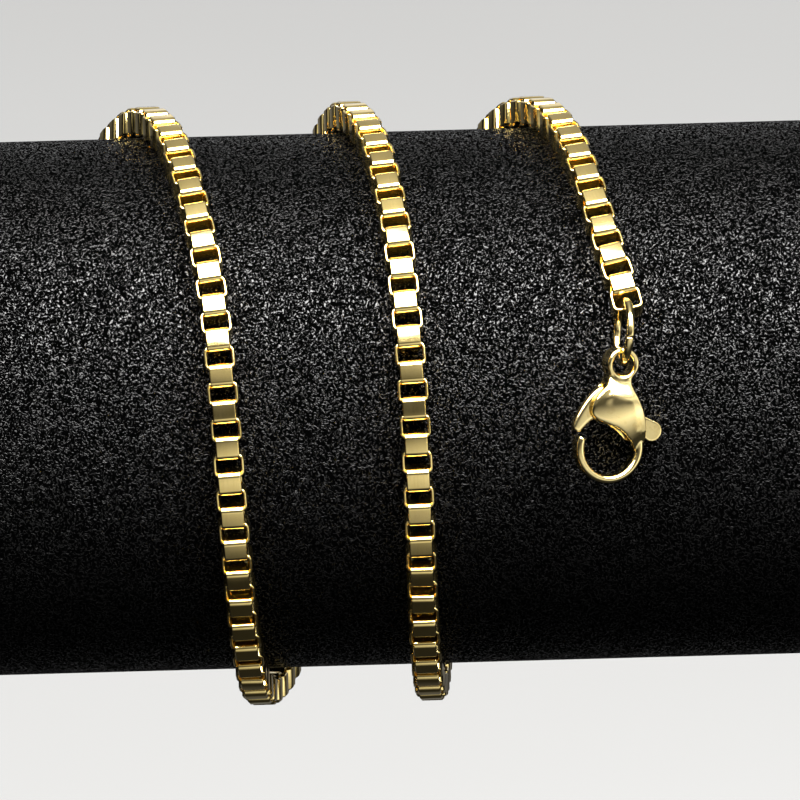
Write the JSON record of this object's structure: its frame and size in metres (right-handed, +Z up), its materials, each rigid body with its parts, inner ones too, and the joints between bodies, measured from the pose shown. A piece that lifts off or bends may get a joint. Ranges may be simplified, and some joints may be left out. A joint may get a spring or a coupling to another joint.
{
  "type": "box chain on a display roll",
  "caption": "Box link neck chain wound round a black display roll, with a jump ring and a lobster clasp at its free end whose sprung lever opens the gate.",
  "frame": {"origin": "middle of the display roll's axis, where the roll is held", "axes": "+X along the roll towards the clasp's end, -Y the front where the clasp lies, +Z up"},
  "size_m": [0.1, 0.0596, 0.0601],
  "materials": {
    "gold": "polished pale gold plate",
    "leatherette": "black pebbled leatherette"
  },
  "bodies": {
    "root": {"roll": "leatherette", "chain": "gold", "jump_ring": "gold", "clasp_body": "gold", "pivot_pin": "gold", "end_ring": "gold"},
    "lever": {"clasp_lever": "gold"}
  },
  "joints": [
    {"name": "lever_hinge", "type": "hinge", "parent": "root", "child": "lever", "pos_m": [0.01971, -0.02582, 0.01433], "axis": [0.3529, -0.8643, 0.3584], "range_deg": [0, 22], "stiffness_Nm_per_rad": 0.008, "springref_deg": -20.05}
  ]
}
